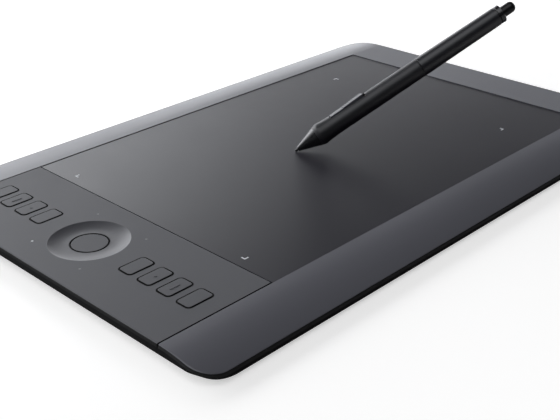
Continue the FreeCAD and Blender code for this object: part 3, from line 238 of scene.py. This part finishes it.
# Circuit boards. Glass-epoxy laminate with etched copper under green solder mask: the main
# board, the digitiser board under the sheet, the touch ring's sensor and the pen's board.
TRACK_SCALE_MM = 2.0
TRACK_DEPTH = 0.00004

# Solder mask: a deep glossy green, with the tracks as raised lines of a lighter green. The real
# ones are 0.3 mm apart, and these are about 1 mm apart, so that they show.
solder_mask, tree, place = start_material("glass epoxy, green solder mask")
tracks = add_node(tree, "TexBrick", {
    "Vector": place, "Scale": 1000.0 / TRACK_SCALE_MM, "Mortar Size": 0.035,
    "Color1": linear("12492c"), "Color2": linear("0f4328"), "Mortar": linear("2c7a4a"),
    "Brick Width": 1.9, "Row Height": 0.55})
track_relief = add_node(tree, "Bump", {
    "Height": tracks.outputs["Fac"], "Distance": TRACK_DEPTH, "Strength": 1.0})
finish(solder_mask, {
    "Base Color": tracks, "Roughness": 0.34, "IOR": 1.5, "Normal": track_relief})
dress(solder_mask, "main_board", "digitiser_board", "ring_sensor", "pen_board")

# Chips. Circuits moulded into epoxy packages, soldered to the upper face of the main board
# in a reflow oven.

# Moulded epoxy: a dull, even black.
epoxy = moulded("black epoxy, moulded", "1c1c1e", 0.5, grain_mm=0.15, depth_mm=0.004)
dress(epoxy, "board_chips")

# Shield plate. A sheet of rolled aluminium, stuck under the digitiser board to keep what lies
# below it from disturbing the pen's signal.
ROLL_MM = 0.7
ROLL_RUN_MM = 50.0
ROLL_DEPTH = 0.00002

# Rolled aluminium: pale, with fine lines along it that draw its highlight out. They are 0.7 mm
# apart, coarser than the real ones, so that they show.
rolled, tree, place = start_material("aluminium, rolled")
roll_place = add_node(tree, "Mapping", {
    "Vector": place, "Scale": (1000.0 / ROLL_RUN_MM, 1000.0 / ROLL_MM, 1000.0 / ROLL_RUN_MM)})
roll_lines = add_node(tree, "TexNoise", {"Vector": roll_place, "Scale": 1.0})
roll_relief = add_node(tree, "Bump", {"Height": roll_lines, "Distance": ROLL_DEPTH})
finish(rolled, {
    "Base Color": linear("c4c6c9"), "Metallic": 1.0, "Roughness": 0.36, "Normal": roll_relief})
dress(rolled, "shield_plate")

# Touch film and ribbon cable. Amber film with printed conductors: a sheet laminated to the
# digitiser board, and the flat cable that joins the two boards.

# Polyester film: smooth and shiny, the colour of weak tea.
polyester = moulded("polyester film, amber", "8a6a36", 0.25, grain_mm=0.6, depth_mm=0.002)
dress(polyester, "touch_film", "ribbon_cable")

# Sockets of the ribbon cable. Moulded in glass-filled nylon in its natural cream, and soldered
# to the boards. The pen's inner frame is the same plastic.

# Glass-filled nylon: cream, and slightly rough from the glass at its surface.
nylon = moulded("glass-filled nylon, natural", "c9c2b1", 0.5, grain_mm=0.3, depth_mm=0.006)
dress(nylon, "ribbon_sockets")

# Switches and the shell of the USB socket. Pressed out of thin steel, nickel-plated, and
# soldered to the boards. The pen's side switches are the same.
PLATING_MM = 1.1

# Nickel plate: a warm, bright metal whose gloss drifts with the plating.
nickel, tree, place = start_material("steel, nickel-plated")
plating = add_node(tree, "TexNoise", {
    "Vector": place, "Scale": 1000.0 / PLATING_MM, "Detail": 3.0})
plating_gloss = add_node(tree, "MapRange", {"Value": plating, "To Min": 0.2, "To Max": 0.38})
finish(nickel, {"Base Color": linear("b4b2ad"), "Metallic": 1.0, "Roughness": plating_gloss})
dress(nickel, "key_switches", "power_switch", "usb_shell")

# Tongue of the USB socket. A slip of black glass-filled nylon that carries the contacts,
# moulded round them and held in the shell.

# Black nylon: slightly dull.
black_nylon = moulded("glass-filled nylon, black", "151516", 0.45, grain_mm=0.3, depth_mm=0.006)
dress(black_nylon, "usb_tongue")

# Lamps. Light-emitting diodes cast in epoxy resin, soldered under the light guides at the
# corners and under the four pipes round the dish.

# Cast resin: smooth, pale cream.
lamp_resin = moulded("cream epoxy resin, cast", "ece6d2", 0.3, grain_mm=0.4, depth_mm=0.004)
dress(lamp_resin, "corner_lamps", "status_lamps")

# Corner light guides. White acrylic, moulded with a frosted face, that comes up from the lamps
# through the drawing surface as four angle marks.

# Frosted acrylic: a soft white that stands out from the dark sheet.
acrylic = moulded("white acrylic, frosted", "e9ebee", 0.4, grain_mm=0.2, depth_mm=0.004)
dress(acrylic, "corner_light_guides")

# Status light pipes. Four rods of smoked acrylic, moulded with a frosted end, pressed into the
# panel round the dish. The lamp under one of them is on; its glow is painted into that rod.
# Where the painted glow lies: the rod left of and behind these lines.
GLOW_LEFT_OF = -0.170
GLOW_BEHIND = 0.010

# Smoked acrylic: a grey a little lighter than the panel. The rod whose lamp is on is painted
# nearly white, as its glow.
smoked, tree, place = start_material("smoked acrylic, frosted")
smoke = mould_grain(tree, place, "6f7074", 0.4, grain_mm=0.2, depth_mm=0.004)
rod = add_node(tree, "SeparateXYZ", {0: place})
outer = add_node(tree, "Math", {0: rod.outputs["X"], 1: GLOW_LEFT_OF}, operation="LESS_THAN")
farther = add_node(tree, "Math", {0: rod.outputs["Y"], 1: GLOW_BEHIND}, operation="GREATER_THAN")
# Painted glow: a near-white base colour on that rod, standing in for its lamp's light.
painted_glow = add_node(tree, "Math", {0: outer, 1: farther}, operation="MULTIPLY")
painted_glow_tone = add_node(tree, "Mix", {
    0: painted_glow, 6: smoke["Base Color"], 7: linear("eef0f2")}, data_type="RGBA")
finish(smoked, smoke | {"Base Color": painted_glow_tone.outputs[2]})
dress(smoked, "status_light_pipes")


# Top case. One ABS moulding, black all through: the curved strips along the front, back and
# right, and a deck under the sheet. Its top is sprayed a satin graphite; its upright rim and
# the walls round panel and sheet carry painted shade, a dull black that draws the dark seams.
CORNER_CENTRE = (0.177, 0.1125, 1.0)
RIM_REACH = 0.0126
BAY_SIDE = 0.09555
BAY_RIGHT = 0.15735
BAY_WALL_TOP = 0.01075
# The colour and roughness of the painted shade.
SHADE_BLACK = "060607"
SHADE_ROUGHNESS = 0.85


def on_rim(tree, place):
    """1 on the upright rim of the case, and 0 inside it: past a line just short of the rim."""
    away = add_node(tree, "VectorMath", {0: place}, operation="ABSOLUTE")
    past = add_node(tree, "VectorMath", {0: away, 1: CORNER_CENTRE}, operation="SUBTRACT")
    corner = add_node(tree, "VectorMath", {0: past, 1: (0.0, 0.0, 0.0)}, operation="MAXIMUM")
    reach = add_node(tree, "VectorMath", {0: corner}, operation="LENGTH").outputs["Value"]
    return add_node(tree, "Math", {0: reach, 1: RIM_REACH}, operation="GREATER_THAN")


def paint_shade(tree, paint, mask):
    """Paints shade where the mask is 1: a dull near-black in place of the paint."""
    tone = add_node(tree, "Mix", {
        0: mask, 6: paint["Base Color"], 7: linear(SHADE_BLACK)}, data_type="RGBA")
    gloss = add_node(tree, "Mix", {0: mask, 2: paint["Roughness"], 3: SHADE_ROUGHNESS})
    return paint | {"Base Color": tone.outputs[2], "Roughness": gloss}


# Graphite paint: a cool mid grey, smooth, with a broad highlight along the curve of the strips.
graphite, tree, place = start_material("ABS, satin graphite paint")
paint = mould_grain(tree, place, "67676d", 0.38, grain_mm=0.3, depth_mm=0.004)
part = add_node(tree, "SeparateXYZ", {0: place})
from_middle = add_node(tree, "Math", {0: part.outputs["Y"]}, operation="ABSOLUTE")
bay_limits = (
    (from_middle, BAY_SIDE), (part.outputs["X"], BAY_RIGHT), (part.outputs["Z"], BAY_WALL_TOP))
in_bay = 1.0
for measured, limit in bay_limits:
    short = add_node(tree, "Math", {0: measured, 1: limit}, operation="LESS_THAN")
    in_bay = add_node(tree, "Math", {0: in_bay, 1: short}, operation="MULTIPLY")
# Painted shade on the upright rim and on the walls of the bay.
painted_shade = add_node(tree, "Math", {0: in_bay, 1: on_rim(tree, place)}, operation="MAXIMUM")
finish(graphite, paint_shade(tree, paint, painted_shade))
dress(graphite, "top_case")

# Control panel, its eight keys and the button in its dish. Black ABS mouldings with a grey
# soft-touch coat on top; the keys and the button are held under the panel by flanges. Rims,
# hole walls and edges carry painted shade, a dull black, and each key and the button has a
# painted dark outline for the shade in its gap.
DISH_MIDDLE = (-0.1551, 0.0008, 0.0)
DISH_EDGE = 0.02125
COAT_FOOT = 0.0107
DISH_COAT_FOOT = 0.0092
PANEL_END = 0.0945
BUTTON_OUTLINE = 0.00975
OUTLINE_HALF = 0.0005
KEY_ROW_START = 0.03097
KEY_PITCH = 0.01407
KEY_CORE = (0.00575, 0.0025)
KEY_OUTLINE = 0.00225
KEY_ROWS_MIDDLE = 0.05905
KEY_ROWS_HALF = 0.0285
POLISHED_MIDDLE = 0.01585
POLISHED_HALF = 0.00525
POLISHED_ROUGHNESS = 0.36

# Soft-touch coat: a darker, duller grey than the strips. Fingers have polished it in the dish.
soft_touch, tree, place = start_material("ABS, soft-touch coat")
coat = mould_grain(tree, place, "525256", 0.50, grain_mm=0.28, depth_mm=0.006)
part = add_node(tree, "SeparateXYZ", {0: place})
from_dish = add_node(tree, "VectorMath", {0: place, 1: DISH_MIDDLE}, operation="SUBTRACT")
level = add_node(tree, "VectorMath", {0: from_dish, 1: (1.0, 1.0, 0.0)}, operation="MULTIPLY")
reach = add_node(tree, "VectorMath", {0: level}, operation="LENGTH").outputs["Value"]

past_dish = add_node(tree, "Math", {0: reach, 1: DISH_EDGE}, operation="GREATER_THAN")
foot = add_node(tree, "MapRange", {
    "Value": past_dish, "To Min": DISH_COAT_FOOT, "To Max": COAT_FOOT})
wall = add_node(tree, "Math", {0: part.outputs["Z"], 1: foot}, operation="LESS_THAN")
from_middle = add_node(tree, "Math", {0: part.outputs["Y"]}, operation="ABSOLUTE")
end = add_node(tree, "Math", {0: from_middle, 1: PANEL_END}, operation="GREATER_THAN")
# A painted dark outline round the button, for the shade in its gap.
button_gap_shade = add_node(tree, "Math", {
    0: reach, 1: BUTTON_OUTLINE, 2: OUTLINE_HALF}, operation="COMPARE")

away = add_node(tree, "VectorMath", {0: from_dish}, operation="ABSOLUTE")
away_parts = add_node(tree, "SeparateXYZ", {0: away})
along_row = add_node(tree, "Math", {
    0: away_parts.outputs["Y"], 1: KEY_ROW_START}, operation="SUBTRACT")
from_gap = add_node(tree, "Math", {0: along_row, 1: KEY_PITCH / 2}, operation="PINGPONG")
past_side = add_node(tree, "Math", {
    0: KEY_PITCH / 2 - KEY_CORE[1], 1: from_gap}, operation="SUBTRACT")
past_end = add_node(tree, "Math", {
    0: away_parts.outputs["X"], 1: KEY_CORE[0]}, operation="SUBTRACT")
past_core = add_node(tree, "CombineXYZ", {0: past_end, 1: past_side})
corner = add_node(tree, "VectorMath", {0: past_core, 1: (0.0, 0.0, 0.0)}, operation="MAXIMUM")
key_reach = add_node(tree, "VectorMath", {0: corner}, operation="LENGTH").outputs["Value"]
key_edge = add_node(tree, "Math", {
    0: key_reach, 1: KEY_OUTLINE, 2: OUTLINE_HALF}, operation="COMPARE")
in_row = add_node(tree, "Math", {
    0: away_parts.outputs["Y"], 1: KEY_ROWS_MIDDLE, 2: KEY_ROWS_HALF}, operation="COMPARE")
# A painted dark outline round each key, for the shade in its gap.
key_gap_shade = add_node(tree, "Math", {0: key_edge, 1: in_row}, operation="MULTIPLY")

# Painted shade on the rim, the walls, the panel's ends and both outlines.
painted_shade = on_rim(tree, place)
for mask in (wall, end, button_gap_shade, key_gap_shade):
    painted_shade = add_node(tree, "Math", {0: painted_shade, 1: mask}, operation="MAXIMUM")
in_dish = add_node(tree, "Math", {
    0: reach, 1: POLISHED_MIDDLE, 2: POLISHED_HALF}, operation="COMPARE")
coat["Roughness"] = add_node(tree, "Mix", {
    0: in_dish, 2: coat["Roughness"], 3: POLISHED_ROUGHNESS})
finish(soft_touch, paint_shade(tree, coat, painted_shade) | {"Specular IOR Level": 0.38})
dress(soft_touch, "control_panel", "ring_button")
dress(soft_touch, *[f"express_key_{number}" for number in range(1, 9)])

# Power button. A small key in the left edge, moulded in black ABS with a satin face, and held
# in its hole by a flange behind the wall. The power switch springs it out.
dress(satin_abs, "power_button")

# Drawing surface. A sheet of dark polycarbonate, rolled with a texture that gives the nib some
# bite, and stuck to the deck of the top case.

# Fine texture: a few microns deep, so the sheet looks smooth and nearly black from above, and
# quite glossy at a low angle.
sheet_plastic = moulded("polycarbonate sheet, fine texture", "1e1c25", 0.31, grain_mm=0.25,
                        depth_mm=0.0015, mottle=0.04)
dress(sheet_plastic, "drawing_surface")

# Screws. Cold-headed steel, zinc-plated and blackened. Ten are driven up through the tray into
# the top case and the panel, and four down through the main board into the tray.
ZINC_MM = 0.85

# Black zinc: a dark grey metal, bright in patches.
zinc, tree, place = start_material("steel, black zinc")
zinc_patches = add_node(tree, "TexNoise", {
    "Vector": place, "Scale": 1000.0 / ZINC_MM, "Detail": 2.0})
zinc_gloss = add_node(tree, "MapRange", {"Value": zinc_patches, "To Min": 0.25, "To Max": 0.5})
finish(zinc, {"Base Color": linear("4a4a4d"), "Metallic": 1.0, "Roughness": zinc_gloss})
dress(zinc, "case_screws", "board_screws")

# Pen nib. A moulded rod of acetal, pushed through the nose cone into the pressure sensor, and
# pulled out when it is worn.

# Acetal: nearly black, with the soft gloss of a slippery plastic.
acetal = moulded("acetal, moulded", "18181a", 0.35, grain_mm=0.3, depth_mm=0.002)
dress(acetal, "pen_nib")

# Pen core. A sleeve of sintered ferrite round the nib, and the coil wound on it from copper
# wire, both held by the frame.
TURN_MM = 0.4
TURN_DEPTH = 0.00005

# Sintered ferrite: a dull stony grey.
ferrite = moulded("ferrite, sintered", "2c2b2c", 0.6, grain_mm=0.1, depth_mm=0.004)
dress(ferrite, "pen_ferrite")

# Enamelled copper: a warm brown metal, ridged by the turns. They are 0.4 mm apart, and real
# ones 0.1 mm, so that they show.
copper, tree, place = start_material("copper wire, enamelled")
pen_axis = next(joint["axis"] for joint in frame["joints"] if joint["name"] == "nib_press")
along = add_node(tree, "VectorMath", {0: place, 1: pen_axis}, operation="DOT_PRODUCT")
turned_by = add_node(tree, "Math", {
    0: along.outputs["Value"], 1: 2000.0 * math.pi / TURN_MM}, operation="MULTIPLY")
turns = add_node(tree, "Math", {0: turned_by}, operation="SINE")
turn_relief = add_node(tree, "Bump", {"Height": turns, "Distance": TURN_DEPTH})
finish(copper, {
    "Base Color": linear("a8562c"), "Metallic": 1.0, "Roughness": 0.3, "Normal": turn_relief})
dress(copper, "pen_coil")

# Inside of the pen. A nylon frame slid in from the tail holds the board, two steel side
# switches, and the ABS-bodied sensors for the nib and the eraser.
dress(nylon, "pen_frame")
dress(nickel, "pen_side_switches")
dress(satin_abs, "pen_pressure_sensor", "pen_eraser_sensor")

# Nose cone and tail collar. ABS mouldings that close the two ends of the pen: the cone screws
# off to reach the nib, and the collar holds the eraser.

# Polished mould: black, with a narrow bright highlight.
gloss_abs = moulded("black ABS, polished", "0f0f12", 0.27, grain_mm=2.0, depth_mm=0.001,
                    specular=0.7)
dress(gloss_abs, "pen_nose_cone", "pen_tail_collar")

# Grip. A sleeve of black silicone rubber, moulded with a flare at the front, and pulled over
# the front of the barrel.

# Silicone rubber: matt, with a wide soft highlight.
grip_rubber = moulded("silicone rubber, matt", "111117", 0.46, grain_mm=0.3, depth_mm=0.008,
                      specular=0.65)
dress(grip_rubber, "pen_grip")

# Side rocker. One ABS moulding with a ribbed back half, on two stub pins in the grip's wall,
# over the two side switches.

# Fine matt grain: a lighter grey than the grip, so the rocker shows as a pale line.
rocker_abs = moulded("grey ABS, fine matt grain", "3c3c43", 0.44, grain_mm=0.3, depth_mm=0.004)
dress(rocker_abs, "pen_side_rocker")

# Barrel. A moulded ABS tube, waisted behind the grip, with a satin black paint. The grip and
# the collar are pushed on to its ends.

# Satin paint: an even, slightly cool sheen along its length.
pen_satin = moulded("black ABS, satin paint", "101017", 0.40, grain_mm=0.3, depth_mm=0.003,
                    specular=0.68)
dress(pen_satin, "pen_barrel")

# Eraser. A rounded stub moulded in black thermoplastic rubber, that slides in the collar
# against its own sensor.

# Thermoplastic rubber: deep black, with a faint satin gleam at its end.
eraser_rubber = moulded("thermoplastic rubber, satin", "0b0b0d", 0.34, grain_mm=0.3,
                        depth_mm=0.004, specular=0.3)
dress(eraser_rubber, "pen_eraser")
